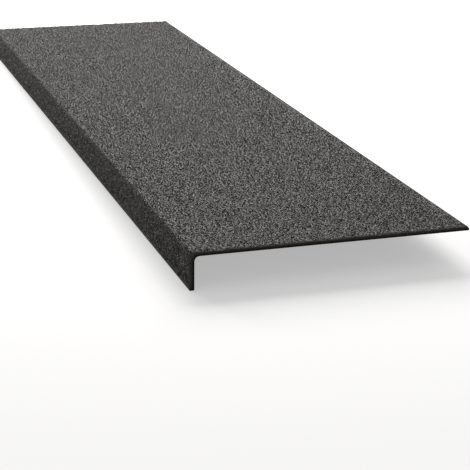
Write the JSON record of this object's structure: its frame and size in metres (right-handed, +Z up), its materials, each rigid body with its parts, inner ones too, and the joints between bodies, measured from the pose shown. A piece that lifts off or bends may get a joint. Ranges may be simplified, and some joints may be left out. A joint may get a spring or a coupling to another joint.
{
  "type": "anti-slip stair nosing",
  "caption": "Moulded L-section stair nosing: a flat gritted tread part with a bevelled back edge and a short lip that hangs down over the front edge of a step.",
  "frame": {"origin": "middle of the tread's flat underside, which beds on the step", "axes": "+X along the step, +Y from the lip to the back edge, +Z up out of the tread"},
  "size_m": [0.9, 0.23, 0.031],
  "materials": {
    "gritted_laminate": "near-black fibre-reinforced resin with dark grey anti-slip grit over the tread and the lip's front, smooth underneath"
  },
  "bodies": {
    "root": {"stair_nosing": "gritted_laminate"}
  },
  "joints": []
}
